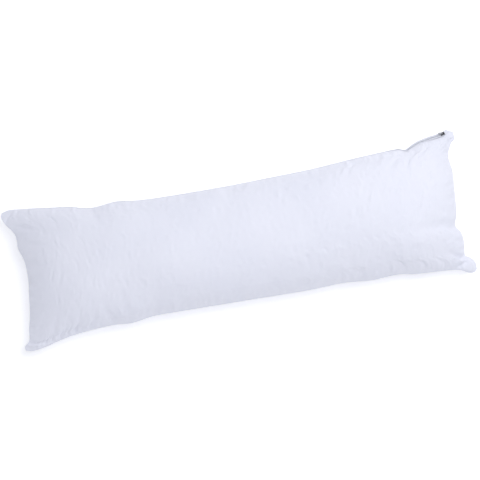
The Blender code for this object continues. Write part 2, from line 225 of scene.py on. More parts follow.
LOWER_FOLDS = (
    ("far", 150, 20, 70, 14, -4.0),
    ("far", 300, -12, 62, 17, -3.5),
    ("far", 480, 10, 58, 22, -3.0),
    ("far", 760, -10, 58, 24, -3.0),
    ("far", 985, 12, 62, 18, -3.5),
    ("far", 1140, -24, 80, 14, -4.5),
    ("near", 92, 30, 80, 13, -4.5),
    ("near", 215, 14, 66, 14, -4.0),
    ("near", 420, -12, 60, 20, -3.0),
    ("near", 660, 10, 55, 24, -3.0),
    ("near", 900, -10, 60, 20, -3.5),
    ("near", 1120, -20, 75, 14, -4.5),
    ("left", 90, 14, 68, 12, -4.0),
    ("left", 205, 4, 62, 12, -4.0),
    ("left", 310, -16, 78, 12, -4.5),
    ("right", 86, 12, 66, 12, -4.0),
    ("right", 200, 2, 60, 12, -4.0),
    ("right", 305, -16, 78, 12, -4.5),
)
FOLD_START = 11 * MM

# Slow swells where the filling has gathered. Columns: waves along, waves across, phase in turns, height
# in millimetres.
SWELLS = (
    (2.3, 0.6, 0.10, 2.6),
    (4.1, 1.1, 0.45, 1.8),
    (6.7, -1.6, 0.80, 1.2),
)

# The band between the panels that holds the zip. Columns: share of the far seam, half width, roll
# towards up in degrees, lift of the zip off the cover. Millimetres.
ZIP_BAND = (
    (0.000, 1.6, 0, 0.4),
    (0.030, 1.6, 0, 0.4),
    (0.062, 6.6, 0, 0.4),
    (0.150, 6.6, 6, 0.4),
    (0.550, 6.6, 4, 0.4),
    (0.840, 6.6, 8, 0.4),
    (0.905, 6.6, 48, 0.4),
    (0.935, 6.6, 62, 0.4),
    (0.955, 6.6, 66, 2.1),
    (0.985, 6.4, 66, 2.1),
    (0.993, 1.6, 30, 0.4),
    (1.000, 1.6, 0, 0.4),
)
# The band's extra half width where the cover is fully open.
OPENING_SPREAD = 5 * MM


class SeamCurve:
    """A smooth curve through a table's rows, read by its share of the whole length."""

    SAMPLES_PER_ROW = 24

    def __init__(self, start, rows, end):
        knots = np.array([CORNERS[start], *rows, CORNERS[end]], float) * MM
        before = 2 * knots[0] - knots[1]
        after = 2 * knots[-1] - knots[-2]
        chain = np.vstack([before, knots, after])
        step = np.linspace(0, 1, self.SAMPLES_PER_ROW, endpoint=False)[:, None]
        points = []
        for a, b, c, d in zip(chain, chain[1:], chain[2:], chain[3:]):
            linear = c - a
            square = 2 * a - 5 * b + 4 * c - d
            cube = 3 * b - a - 3 * c + d
            points.append(b + 0.5 * (linear * step + square * step**2 + cube * step**3))
        self.points = np.vstack([*points, knots[-1:]])
        run = np.linalg.norm(np.diff(self.points, axis=0), axis=1)
        self.length = run.sum()
        self.share = np.concatenate([[0], np.cumsum(run)]) / self.length

    def at(self, share):
        """Points at these shares of the curve, as rows of x, y, z."""
        return np.stack([np.interp(share, self.share, self.points[:, k]) for k in range(3)], axis=-1)


near_seam = SeamCurve("near_left", NEAR_SEAM, "near_right")
far_seam = SeamCurve("far_left", FAR_SEAM, "far_right")
left_seam = SeamCurve("near_left", LEFT_SEAM, "far_left")
right_seam = SeamCurve("near_right", RIGHT_SEAM, "far_right")

# The seams' outline is laid over the middle of the cover's solid.
outline = np.vstack([near_seam.points, far_seam.points, left_seam.points, right_seam.points])
outline_centre = (outline.min(axis=0) + outline.max(axis=0)) / 2 * np.array([1, 1, 0])


def zip_band(share):
    """Half width, roll and lift of the zip's band at these shares of the far seam."""
    table = np.array(ZIP_BAND)
    half = np.interp(share, table[:, 0], table[:, 1]) * MM
    roll = np.radians(np.interp(share, table[:, 0], table[:, 2]))
    lift = np.interp(share, table[:, 0], table[:, 3]) * MM
    return half, roll, lift


def band_axes(roll):
    """The band's two directions: off the cover, and across the band towards the upper panel."""
    zero = np.zeros_like(roll)
    off = np.stack([zero, np.cos(roll), np.sin(roll)], axis=-1)
    across = np.stack([zero, -np.sin(roll), np.cos(roll)], axis=-1)
    return off, across


# On a panel, u is the share of its length from the left-hand end, and v that of its width from the near
# seam.
def opening(share):
    """1 where the cover opens for the zip, and 0 where it is sewn shut."""
    half, _, _ = zip_band(share)
    return np.clip((half - EDGE_HALF) / OPENING_SPREAD, 0, 1)


def sewn_edge(u, v, side):
    """A Coons patch between the four seams: where a panel would lie without any filling."""
    half, roll, _ = zip_band(u)
    _, across = band_axes(roll)
    up = np.array([0, 0, 1.0])
    near = near_seam.at(u) + side * EDGE_HALF * up
    far = far_seam.at(u) + side * half[:, None] * across
    left = left_seam.at(v) + side * EDGE_HALF * up
    right = right_seam.at(v) + side * EDGE_HALF * up
    corner = {key: np.array(point) * MM + side * EDGE_HALF * up for key, point in CORNERS.items()}
    u, v = u[:, None], v[:, None]
    along = (1 - v) * near + v * far
    cross = (1 - u) * left + u * right
    shared = (
        (1 - u) * (1 - v) * corner["near_left"]
        + u * (1 - v) * corner["near_right"]
        + (1 - u) * v * corner["far_left"]
        + u * v * corner["far_right"]
    )
    return along + cross - shared


def fullness(u, v):
    """How far the filling lifts a panel: 0 at the seams and 1 over the middle."""
    from_middle = np.abs(2 * v - 1)
    section = (1 - from_middle**SECTION_POWER) ** SEAM_PINCH
    from_end = np.minimum(u, 1 - u) * CUT_LENGTH / END_RISE_LENGTH
    pinch = END_PINCH + (EAR_PINCH - END_PINCH) * from_middle**2
    ends = (1 - (1 - np.clip(from_end, 0, 1)) ** 2) ** pinch
    return section * ends


def fold_depth(u, v, folds, start):
    """The folds' depth off the smooth panel, in metres. Each fades in over the start from its seam."""
    length, width = u * CUT_LENGTH, v * CUT_WIDTH
    places = {
        "far": (length, CUT_WIDTH - width),
        "near": (length, width),
        "left": (width, length),
        "right": (width, CUT_LENGTH - length),
    }
    depth = np.zeros_like(u)
    for edge, at, drift, reach, half_width, height in folds:
        along, away = places[edge]
        middle = (at + drift * np.minimum(away / (reach * MM), 1)) * MM
        across = np.exp(-(((along - middle) / (half_width * MM)) ** 2))
        inward = (1 - np.exp(-away / start)) * np.exp(-((away / (reach * MM)) ** 2))
        depth += height * MM * across * inward
    return depth


def swell(u, v):
    """The slow swells of the crown, in metres."""
    height = np.zeros_like(u)
    for along, across, phase, size in SWELLS:
        height += size * MM * np.sin(2 * math.pi * (along * u + across * v + phase))
    return height


def smooth_panel(u, v, side):
    """The filled panel without its folds. Side is 1 for the upper panel and -1 for the lower."""
    points = sewn_edge(u, v, side) - outline_centre
    full = fullness(u, v)
    if side > 0:
        points[:, 2] += (CROWN_RISE + swell(u, v)) * full
    else:
        points[:, 2] -= BELLY_DROP * full
    return points


def panel_normal(u, v, side):
    """The smooth panel's direction off the filling."""
    step = 1e-4
    u, v = np.clip(u, step, 1 - step), np.clip(v, step, 1 - step)
    along = smooth_panel(u + step, v, side) - smooth_panel(u - step, v, side)
    across = smooth_panel(u, v + step, side) - smooth_panel(u, v - step, side)
    normal = np.cross(along, across) * side
    return normal / np.linalg.norm(normal, axis=1)[:, None]


def panel_points(u, v, side):
    """The panel with its main folds."""
    folds = UPPER_FOLDS if side > 0 else LOWER_FOLDS
    inside = (u > 0) & (u < 1) & (v > 0) & (v < 1)
    depth = np.where(inside, fold_depth(u, v, folds, FOLD_START), 0)
    return smooth_panel(u, v, side) + panel_normal(u, v, side) * depth[:, None]


def on_grid(shares_u, shares_v, values):
    """Runs values(u, v) over every pair of shares, and returns a grid of what it gives."""
    u, v = np.meshgrid(shares_u, shares_v, indexing="ij")
    made = values(u.ravel(), v.ravel())
    return made.reshape(len(shares_u), len(shares_v), *made.shape[1:])


def rim(grid):
    """A panel grid's outer points in order, anticlockwise from above."""
    return np.concatenate([grid[:-1, 0], grid[-1, :-1], grid[:0:-1, -1], grid[0, :0:-1]])


def new_piece(name, points, faces):
    """A mesh of these points and faces, as an object in the scene."""
    mesh = bpy.data.meshes.new(name)
    mesh.from_pydata(points, [], faces)
    mesh.update()
    piece = bpy.data.objects.new(name, mesh)
    bpy.context.scene.collection.objects.link(piece)
    return piece


def closed_form(name, upper, lower, edge_rows=()):
    """One closed mesh of two panel grids, with the rows of points that join their rims."""
    rows, columns = upper.shape[:2]
    count = rows * columns
    places = np.arange(count).reshape(rows, columns)
    rim_of_places = rim(places)
    points = [upper.reshape(-1, 3), lower.reshape(-1, 3), *edge_rows]
    quad = np.stack([places[:-1, :-1], places[1:, :-1], places[1:, 1:], places[:-1, 1:]], axis=-1)
    quad = quad.reshape(-1, 4)
    faces = [quad, quad[:, ::-1] + count]
    ring_size = len(rim_of_places)
    rings = [rim_of_places]
    rings += [2 * count + k * ring_size + np.arange(ring_size) for k in range(len(edge_rows))]
    rings += [rim_of_places + count]
    for high, low in zip(rings, rings[1:]):
        faces.append(np.stack([low, np.roll(low, -1), np.roll(high, -1), high], axis=-1))
    return new_piece(name, np.vstack(points).tolist(), np.vstack(faces).tolist())


# The panels are laid out on a grid of even steps and filled as simulated cloth: its springs want the flat
# cut's lengths, so the spare cloth near the seams buckles as it does on the real pillow.
SETTLE_STEP = 5.4 * MM
SETTLE_FRAMES = 30
# Percale is light, firm along its threads, and limp to bend. The filling pushes on it as an even pressure,
# and its own weight is left out, because it hardly counts.
PERCALE_SPRINGS = {
    "quality": 6,
    "mass": 0.2,
    "tension_stiffness": 30,
    "compression_stiffness": 30,
    "shear_stiffness": 12,
    "bending_stiffness": 0.05,
    "air_damping": 2,
    "use_pressure": True,
    "uniform_pressure_force": 3.0,
}
CLOTH_SLACK = 1.05
MOST_MOVE = 13 * MM
HELD_NEAR_SEAM = 30 * MM
LEAST_MOVE = 1e-9

settle_u = np.linspace(0, 1, round(CUT_LENGTH / SETTLE_STEP) + 1)
settle_v = np.linspace(0, 1, round(CUT_WIDTH / SETTLE_STEP) + 1)


def flat_cut(side):
    """A panel as it is cut, with a little extra width for the cloth's give."""
    length = (settle_u - 0.5) * CUT_LENGTH
    width = (settle_v - 0.5) * CUT_WIDTH * CLOTH_SLACK
    x, y = np.meshgrid(length, width, indexing="ij")
    return np.stack([x, y, np.full_like(x, side * EDGE_HALF)], axis=-1)


def settle_cloth():
    """Fills the sewn panels, and returns how far each point of the two grids moves."""
    before = {side: on_grid(settle_u, settle_v, lambda u, v: panel_points(u, v, side)) for side in (1, -1)}
    form = closed_form("settling_cover", before[1], before[-1])
    count = before[1].shape[0] * before[1].shape[1]
    form.shape_key_add(name="filled")
    cut = form.shape_key_add(name="cut")
    flat = np.concatenate([flat_cut(1).reshape(-1, 3), flat_cut(-1).reshape(-1, 3)])
    cut.data.foreach_set("co", flat.ravel())
    seam = form.vertex_groups.new(name="seam")
    edge = rim(np.arange(count).reshape(before[1].shape[:2]))
    seam.add([int(k) for k in np.concatenate([edge, edge + count])], 1.0, "REPLACE")
    cloth = form.modifiers.new("cloth", "CLOTH")
    for name, value in PERCALE_SPRINGS.items():
        setattr(cloth.settings, name, value)
    cloth.settings.effector_weights.gravity = 0
    cloth.settings.vertex_group_mass = "seam"
    cloth.settings.rest_shape_key = cut
    cloth.collision_settings.use_collision = False
    cloth.point_cache.frame_start = 1
    cloth.point_cache.frame_end = SETTLE_FRAMES
    for step in range(1, SETTLE_FRAMES + 1):
        bpy.context.scene.frame_set(step)
    settled = form.evaluated_get(bpy.context.evaluated_depsgraph_get()).data
    after = np.empty(len(settled.vertices) * 3, np.float32)
    settled.vertices.foreach_get("co", after)
    bpy.context.scene.frame_set(1)
    bpy.data.objects.remove(form)
    after = after.reshape(2, *before[1].shape)
    return {1: after[0] - before[1], -1: after[1] - before[-1]}


def eased(moves):
    """Keeps the moves short, and shorter still beside the seams, where the zip and the stitches are."""
    size = np.linalg.norm(moves, axis=-1, keepdims=True)
    u, v = np.meshgrid(settle_u, settle_v, indexing="ij")
    away = np.minimum(np.minimum(u, 1 - u) * CUT_LENGTH, np.minimum(v, 1 - v) * CUT_WIDTH)
    most = MOST_MOVE * (1 - np.exp(-away / HELD_NEAR_SEAM))[..., None] + LEAST_MOVE
    return moves * np.tanh(size / most) * most / np.maximum(size, LEAST_MOVE)


def smooth_weights(shares, count):
    """The weights that read a smooth curve through count even samples at these shares."""
    weights = np.zeros((len(shares), count))
    place = np.clip(shares, 0, 1) * (count - 1)
    first = np.minimum(place.astype(int), count - 2)
    t = place - first
    pulls = (
        (-1, 0.5 * (-t + 2 * t**2 - t**3)),
        (0, 0.5 * (2 - 5 * t**2 + 3 * t**3)),
        (1, 0.5 * (t + 4 * t**2 - 3 * t**3)),
        (2, 0.5 * (-(t**2) + t**3)),
    )
    for shift, pull in pulls:
        np.add.at(weights, (np.arange(len(shares)), np.clip(first + shift, 0, count - 1)), pull)
    return weights


moves = settle_cloth()
moves = {side: eased(moved) for side, moved in moves.items()}

# The finished cloth's grid, which is finer beside the seams, and has two more rows of points at these
# millimetres from each of them.
FINE_LENGTH_STEPS = 370
FINE_WIDTH_STEPS = 112
CROWDING = 0.35
EXTRA_ROWS = (1.1, 3.4)


def crowded(count, size):
    """Shares from 0 to 1 that are closer together towards both ends, with the extra rows there."""
    share = np.linspace(0, 1, count + 1)
    share = np.clip(share - CROWDING * np.sin(2 * math.pi * share) / (2 * math.pi), 0, 1)
    extra = np.array(EXTRA_ROWS) * MM / size
    return np.sort(np.concatenate([share, extra, 1 - extra]))


fine_u, fine_v = crowded(FINE_LENGTH_STEPS, CUT_LENGTH), crowded(FINE_WIDTH_STEPS, CUT_WIDTH)

# The sewing thread draws each seam up a little, which ripples the cloth beside it. Millimetres, but for
# the lean, as a share of the reach, and how strongly each seam is drawn up.
RIPPLE_SPACING = (8, 19)
RIPPLE_REACH = (9, 42)
RIPPLE_HALF_WIDTH = (2.8, 5.2)
RIPPLE_DEPTH = (0.6, 2.1)
RIPPLE_LEAN = (-0.35, 0.35)
RIPPLE_START = 2.2 * MM
RIPPLE_CORNER = 30
RIPPLED = {"far": 1.15, "near": 1.15, "left": 1.6, "right": 1.3}

# Puckers beside the left-hand ear, in the columns of the table of main folds.
PUCKERS = (
    ("near", 117, 4, 38, 4.6, 2.6),
    ("near", 132, 5, 36, 4.2, -2.6),
    ("near", 142, 4, 32, 4.2, 2.2),
    ("near", 156, 4, 34, 4.6, -3.0),
)


def seam_ripples(seed, side):
    """Small folds all round a panel but for its ears, in the columns of the table of main folds."""
    draw = np.random.default_rng(seed)
    found = list(PUCKERS) if side > 0 else []
    for edge, drawn_up in RIPPLED.items():
        length = (CUT_LENGTH if edge in ("far", "near") else CUT_WIDTH) / MM
        at = RIPPLE_CORNER + draw.uniform(*RIPPLE_SPACING)
        while at < length - RIPPLE_CORNER:
            reach = draw.uniform(*RIPPLE_REACH)
            depth = drawn_up * draw.uniform(*RIPPLE_DEPTH) * draw.choice([-1, -1, 1])
            lean = draw.uniform(*RIPPLE_LEAN) * reach
            found.append((edge, at, lean, reach, draw.uniform(*RIPPLE_HALF_WIDTH), depth))
            at += draw.uniform(*RIPPLE_SPACING)
    return found


# Pressed creases, left all over the cloth by the way it was folded. They run across the pillow over most
# of it, and along it beside the two ends. Millimetres, and degrees off that direction: the lean that they
# share, and how far the shortest spread about it, which halves for those of the calm half length. From the
# middle on they get deeper to the right, over a share of the pillow's length.
CREASE_COUNT = 2300
CREASE_HALF_LENGTH = (4, 24)
CREASE_HALF_WIDTH = (2.4, 4.6)
CREASE_HEIGHT = (0.12, 0.92)
CREASE_RIGHT_HAND = 1.7
CREASE_DEEPENS_OVER = 0.3
CREASE_LEAN = -6
CREASE_SPREAD = 30
CREASE_CALM_HALF_LENGTH = 12
CREASE_END_REACH = 70
CREASE_START = 7 * MM
# How much of a crease keeps its full height, how sharply it then fades, and how many half widths out it
# still counts.
CREASE_FULL_SHARE = 0.4
CREASE_FADE = 2.2
CREASE_TAIL = 3

# Where the ears were turned out or folded over. Columns: from and to, as length and width on the cut
# panel, half width and height. Millimetres.
EAR_CREASES = (
    ((0, 19), (58, 4), 2.8, 2.6),
    ((0, 27), (64, 11), 3.6, -2.6),
    ((1246, 8), (1274, 31), 5.0, -5.5),
    ((1279, 3), (1287, 30), 6.0, 4.5),
    ((1271, 399), (1287, 378), 3.4, -2.8),
    ((1284, 372), (1299, 384), 3.0, -2.6),
    ((3, 372), (30, 388), 3.6, -2.4),
)


def crease(length, width, start, end, half_width, height):
    """One crease's height off the cloth, in metres, fading out past its two ends."""
    start, end = np.array(start) * MM, np.array(end) * MM
    run = np.linalg.norm(end - start)
    way = (end - start) / run
    along = (length - start[0]) * way[0] + (width - start[1]) * way[1]
    off = (width - start[1]) * way[0] - (length - start[0]) * way[1]
    past = np.maximum(np.abs(along - run / 2) - run / 2, 0)
    fade = 0.5 * run + half_width * MM
    return height * MM * np.exp(-((off / (half_width * MM)) ** 2) - (CREASE_FADE * past / fade) ** 2)


def crumple(seed):
    """The pressed creases and the ears' folds over a fine grid, as heights that are nought at the seams."""
    draw = np.random.default_rng(seed)
    length, width = fine_u * CUT_LENGTH, fine_v * CUT_WIDTH
    height = np.zeros((len(length), len(width)))
    for _ in range(CREASE_COUNT):
        middle = draw.uniform((0, 0), (CUT_LENGTH / MM, CUT_WIDTH / MM))
        half_length, half_width = draw.uniform(*CREASE_HALF_LENGTH), draw.uniform(*CREASE_HALF_WIDTH)
        past_middle = max(middle[0] * MM / CUT_LENGTH - 0.5, 0)
        deeper = 1 + (CREASE_RIGHT_HAND - 1) * min(past_middle / CREASE_DEEPENS_OVER, 1)
        rise = deeper * draw.uniform(*CREASE_HEIGHT) * draw.choice([-1, 1])
        from_end = min(middle[0], CUT_LENGTH / MM - middle[0])
        turned = 90 * (1 - math.exp(-((from_end / CREASE_END_REACH) ** 2)))
        spread = CREASE_SPREAD / (1 + half_length / CREASE_CALM_HALF_LENGTH)
        angle = math.radians(turned + draw.normal(CREASE_LEAN, spread))
        way = np.array([math.cos(angle), math.sin(angle)]) * half_length * CREASE_FULL_SHARE
        reach = (half_length + CREASE_TAIL * half_width) * MM
        near_u = np.abs(length - middle[0] * MM) < reach
        near_v = np.abs(width - middle[1] * MM) < reach
        x, y = np.meshgrid(length[near_u], width[near_v], indexing="ij")
        height[np.ix_(near_u, near_v)] += crease(x, y, middle - way, middle + way, half_width, rise)
    x, y = np.meshgrid(length, width, indexing="ij")
    away = np.minimum(np.minimum(x, CUT_LENGTH - x), np.minimum(y, CUT_WIDTH - y))
    height *= 1 - np.exp(-away / CREASE_START)
    for start, end, half_width, rise in EAR_CREASES:
        height += crease(x, y, start, end, half_width, rise) * (1 - np.exp(-away / RIPPLE_START))
    return height


# The hem on each side of the zip: three layers of cloth, sewn down to the tape.
HEM_THICK = 1.0 * MM
HEM_WIDTH = 9.0 * MM
HEM_FADE = 4.0 * MM
STITCH_INSET = 3.3 * MM
STITCH_DIP = 0.45
STITCH_DIP_HALF_WIDTH = 1.1 * MM


def hem_height(u, v):
    """How far the hem stands off the cover beside the zip."""
    away = (1 - v) * CUT_WIDTH
    fade = np.clip((away - HEM_WIDTH) / HEM_FADE, 0, 1)
    dip = STITCH_DIP * np.exp(-(((away - STITCH_INSET) / STITCH_DIP_HALF_WIDTH) ** 2))
    return opening(u) * HEM_THICK * ((1 - fade) ** 2 * (1 + 2 * fade) - dip)


def cover_grid(side, seed):
    """One finished panel: main folds, settled cloth and small creases, flat where it meets the floor."""
    grid = on_grid(fine_u, fine_v, lambda u, v: panel_points(u, v, side))
    along, across = smooth_weights(fine_u, len(settle_u)), smooth_weights(fine_v, len(settle_v))
    grid += np.einsum("ia,abk,jb->ijk", along, moves[side], across, optimize=True)
    ripples = on_grid(fine_u, fine_v, lambda u, v: fold_depth(u, v, seam_ripples(seed, side), RIPPLE_START))
    normal = on_grid(fine_u, fine_v, lambda u, v: panel_normal(u, v, side))
    hem = on_grid(fine_u, fine_v, hem_height)
    grid += normal * (ripples + crumple(seed) + hem)[..., None]
    grid[..., 2] = np.maximum(grid[..., 2], 0)
    return grid


# Each panel's edge turns in to the line of stitches, so a seam is two soft rolls with a groove between.
# Columns: share of the way from the upper panel down to the lower, roll outwards in millimetres, and the
# share of the way under the zip, where the tapes cover a flat strip between the two hems.
EDGE_ROLL = (
    (0.22, 0.8, 0.015),
    (0.42, 0.5, 0.040),
    (0.50, -0.5, 0.500),
    (0.58, 0.5, 0.960),
    (0.78, 0.8, 0.985),
)


def edge_rows():
    """The rows of points between the panels' rims: rolled along the seams, and flat under the zip."""
    high = rim(on_grid(fine_u, fine_v, lambda u, v: panel_points(u, v, 1)))
    low = rim(on_grid(fine_u, fine_v, lambda u, v: panel_points(u, v, -1)))
    way = np.roll(high, -1, axis=0) - np.roll(high, 1, axis=0)
    outward = np.cross(way, high - low)
    outward /= np.linalg.norm(outward, axis=1)[:, None]
    width = np.linalg.norm(high - low, axis=1)
    rolled = np.clip(2 - width / (2 * EDGE_HALF), 0, 1)[:, None]
    rows = []
    for seam_share, roll, zip_share in EDGE_ROLL:
        share = zip_share + (seam_share - zip_share) * rolled
        rows.append(high + (low - high) * share + outward * rolled * roll * MM)
    return rows


upper_panel, lower_panel = cover_grid(1, seed=11), cover_grid(-1, seed=12)
cover = closed_form("cotton_cover", upper_panel, lower_panel, edge_rows())


def lay_map(piece, name, places):
    """Gives each point of a piece its place on a flat map, in metres, so that a weave follows the cloth."""
    corner_points = np.empty(len(piece.data.loops), np.int32)
    piece.data.loops.foreach_get("vertex_index", corner_points)
    flat_map = piece.data.uv_layers.new(name=name)
    flat_map.uv.foreach_set("vector", places[corner_points].astype(np.float32).ravel())


cut_places = np.stack(np.meshgrid(fine_u * CUT_LENGTH, fine_v * CUT_WIDTH, indexing="ij"), axis=-1)
under_places = cut_places * np.array([1, -1])
rim_places = [rim(cut_places)] * len(EDGE_ROLL)
lay_map(cover, "cut", np.vstack([cut_places.reshape(-1, 2), under_places.reshape(-1, 2), *rim_places]))
cover.data.shade_smooth()


def srgb(hex_colour):
    """A web colour as linear red, green, blue and alpha."""
    parts = [int(hex_colour[i : i + 2], 16) / 255 for i in (0, 2, 4)]
    return (*[p / 12.92 if p <= 0.04045 else ((p + 0.055) / 1.055) ** 2.4 for p in parts], 1.0)


def add_node(tree, kind, settings=None, links=None):
    """Adds a shader node, sets its properties and sockets, and links its sockets from other outputs."""
    node = tree.nodes.new(kind)
    for name, value in (settings or {}).items():
        if isinstance(name, int) or name in node.inputs:
            node.inputs[name].default_value = value
        else:
            setattr(node, name, value)
    for name, output in (links or {}).items():
        tree.links.new(output, node.inputs[name])
    return node


def new_material(name):
    """A material with nothing but its output, its tree, and the socket that takes its surface."""
    material = bpy.data.materials.new(name)
    material.use_nodes = True
    tree = material.node_tree
    tree.nodes.clear()
    output = tree.nodes.new("ShaderNodeOutputMaterial")
    return material, tree, output.inputs["Surface"]


# One band of the Wave texture, at scale 1, is this long.
WAVE_LENGTH = 2 * math.pi / 20
# A Mix node has its two colours at these inputs, and the mixed one at this output.
COLOUR_A, COLOUR_B, MIXED = 6, 7, 2


def cotton_percale():
    """White cotton percale: a plain weave of fine combed yarn, matt, with a soft bloom at grazing angles.

    Real percale has a thread every 0.25 mm, which no view here resolves, so the weave is drawn at 1.2 mm.
    """
    thread = 1.2 * MM
    material, tree, surface = new_material("cotton_percale_white")
    cut = add_node(tree, "ShaderNodeUVMap", {"uv_map": "cut"}).outputs["UV"]
    place = add_node(tree, "ShaderNodeTexCoord").outputs["Object"]
    weave = []
    for direction in ("X", "Y"):
        weave.append(
            add_node(
                tree,
                "ShaderNodeTexWave",
                {
                    "wave_type": "BANDS",
                    "bands_direction": direction,
                    "Scale": WAVE_LENGTH / thread,
                    "Distortion": 0.6,
                    "Detail": 1.0,
                    "Detail Scale": 2.0,
                },
                {"Vector": cut},
            ).outputs["Fac"]
        )
    threads = add_node(tree, "ShaderNodeMath", {"operation": "MULTIPLY"}, {0: weave[0], 1: weave[1]})
    slubs = add_node(tree, "ShaderNodeTexNoise", {"Scale": 1 / (9 * MM), "Detail": 4.0}, {"Vector": cut})
    crumpled = add_node(
        tree,
        "ShaderNodeTexNoise",
        {"Scale": 1 / (26 * MM), "Detail": 5.0, "Roughness": 0.55},
        {"Vector": place},
    )
    cloudy = add_node(
        tree, "ShaderNodeTexNoise", {"Scale": 1 / (160 * MM), "Detail": 3.0}, {"Vector": place}
    )
    tone = add_node(
        tree,
        "ShaderNodeMix",
        {"data_type": "RGBA", COLOUR_A: srgb("E0E2ED"), COLOUR_B: srgb("E8E9F2")},
        {0: cloudy.outputs["Fac"]},
    )
    soft = add_node(
        tree,
        "ShaderNodeBump",
        {"Strength": 0.35, "Distance": 1.6 * MM},
        {"Height": crumpled.outputs["Fac"]},
    )
    yarn = add_node(
        tree,
        "ShaderNodeBump",
        {"Strength": 0.10, "Distance": 0.4 * MM},
        {"Height": slubs.outputs["Fac"], "Normal": soft.outputs["Normal"]},
    )
    woven = add_node(
        tree,
        "ShaderNodeBump",
        {"Strength": 0.22, "Distance": 0.2 * MM},
        {"Height": threads.outputs[0], "Normal": yarn.outputs["Normal"]},
    )
    shader = add_node(
        tree,
        "ShaderNodeBsdfPrincipled",
        {"Roughness": 0.86, "Sheen Weight": 0.22, "Sheen Roughness": 0.5},
        {"Base Color": tone.outputs[MIXED], "Normal": woven.outputs["Normal"]},
    )
    tree.links.new(shader.outputs["BSDF"], surface)
    return material


cover.data.materials.append(cotton_percale())
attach(cover, "root")
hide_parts("filled_cover")


# ------------------------------------------------------------------------------------------------
# The hem stitches. White polyester sewing thread in a lockstitch of about nine stitches to the inch
# holds each panel's folded hem down on its zip tape, one row beside each edge of the opening.
# ------------------------------------------------------------------------------------------------

STITCH_PITCH = 2.9 * MM
# The rows' two ends, as shares of the far seam.
STITCHED = (0.068, 0.984)
STITCH_SIDES = 6
# Each stitch is a short arch of thread. Columns: place along it, height off the cloth, radius.
# Millimetres. The real thread's radius is 0.15, and it is drawn thicker so that it shows.
STITCH_SHAPE = (
    (-1.20, -0.25, 0.08),
    (-0.95, 0.10, 0.22),
    (0.00, 0.22, 0.24),
    (0.95, 0.10, 0.22),
    (1.20, -0.25, 0.08),
)


def tube_faces(place):
    """The faces of closed tubes. The last two axes of the places are along a tube and around it."""
    here, there = place[..., :-1, :], place[..., 1:, :]
    walls = np.stack([here, there, np.roll(there, -1, -1), np.roll(here, -1, -1)], axis=-1)
    caps = np.stack([place[..., 0, :], place[..., -1, ::-1]]).reshape(-1, place.shape[-1])
    return walls.reshape(-1, 4).tolist() + caps.tolist()


def drawn_thread(name, lines, away, radius, sides):
    """One mesh of round threads. Lines lists each thread's points, and away points off what it lies on."""
    tangent = np.gradient(lines, axis=1)
    tangent /= np.linalg.norm(tangent, axis=2, keepdims=True)
    beside = np.cross(tangent, away)
    beside /= np.linalg.norm(beside, axis=2, keepdims=True)
    above = np.cross(beside, tangent)
    turn = 2 * math.pi * np.arange(sides) / sides
    ring = np.cos(turn)[:, None] * beside[:, :, None] + np.sin(turn)[:, None] * above[:, :, None]
    points = lines[:, :, None] + ring * np.asarray(radius)[:, None, None]
    place = np.arange(points[..., 0].size).reshape(points.shape[:3])
    thread = new_piece(name, points.reshape(-1, 3).tolist(), tube_faces(place))
    thread.data.shade_smooth()
    return thread


def cloth_point(panel, side, u, v):
    """Points of a finished panel at these shares, and its directions along the zip and off the cover."""
    i = np.clip(np.searchsorted(fine_u, u) - 1, 0, len(fine_u) - 2)
    j = np.clip(np.searchsorted(fine_v, v) - 1, 0, len(fine_v) - 2)
    s = ((u - fine_u[i]) / (fine_u[i + 1] - fine_u[i]))[:, None]
    t = ((v - fine_v[j]) / (fine_v[j + 1] - fine_v[j]))[:, None]
    a, b, c, d = panel[i, j], panel[i + 1, j], panel[i, j + 1], panel[i + 1, j + 1]
    point = (a * (1 - s) + b * s) * (1 - t) + (c * (1 - s) + d * s) * t
    off = np.cross(b + d - a - c, c + d - a - b) * side
    return point, off / np.linalg.norm(off, axis=1)[:, None]


def hem_stitches():
    """Both rows of stitches, which run as far as the opening does."""
    share = np.arange(*STITCHED, STITCH_PITCH / far_seam.length)
    step, height, radius = np.array(STITCH_SHAPE).T * MM
    u = (share[:, None] + step / far_seam.length).ravel()
    v = np.full_like(u, 1 - STITCH_INSET / CUT_WIDTH)
    lines, away = [], []
    for panel, side in ((upper_panel, 1), (lower_panel, -1)):
        point, off = cloth_point(panel, side, u, v)
        point, off = point.reshape(len(share), -1, 3), off.reshape(len(share), -1, 3)
        lines.append(point + off * height[:, None])
        away.append(off)
    return drawn_thread("hem_stitches", np.concatenate(lines), np.concatenate(away), radius, STITCH_SIDES)


def spun_thread():
    """White spun polyester thread: two twisted plies with a soft, slightly silky shine.

    The plies really turn every 1.1 mm, and are drawn so.
    """
    material, tree, surface = new_material("spun_polyester_thread_white")
    place = add_node(tree, "ShaderNodeTexCoord").outputs["Object"]
    plies = add_node(
        tree,
        "ShaderNodeTexWave",
        {
            "wave_type": "BANDS",
            "bands_direction": "DIAGONAL",
            "Scale": WAVE_LENGTH / (1.1 * MM),
            "Distortion": 0.8,
        },
        {"Vector": place},
    )
    tone = add_node(
        tree,
        "ShaderNodeMix",
        {"data_type": "RGBA", COLOUR_A: srgb("D9DBE6"), COLOUR_B: srgb("EDEEF4")},
        {0: plies.outputs["Fac"]},
    )
    twist = add_node(
        tree,
        "ShaderNodeBump",
        {"Strength": 0.5, "Distance": 0.12 * MM},
        {"Height": plies.outputs["Fac"]},
    )
    shader = add_node(
        tree,
        "ShaderNodeBsdfPrincipled",
        {"Roughness": 0.55, "Sheen Weight": 0.15},
        {"Base Color": tone.outputs[MIXED], "Normal": twist.outputs["Normal"]},
    )
    tree.links.new(shader.outputs["BSDF"], surface)
    return material


stitches = hem_stitches()
stitches.data.materials.append(spun_thread())
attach(stitches, "root")


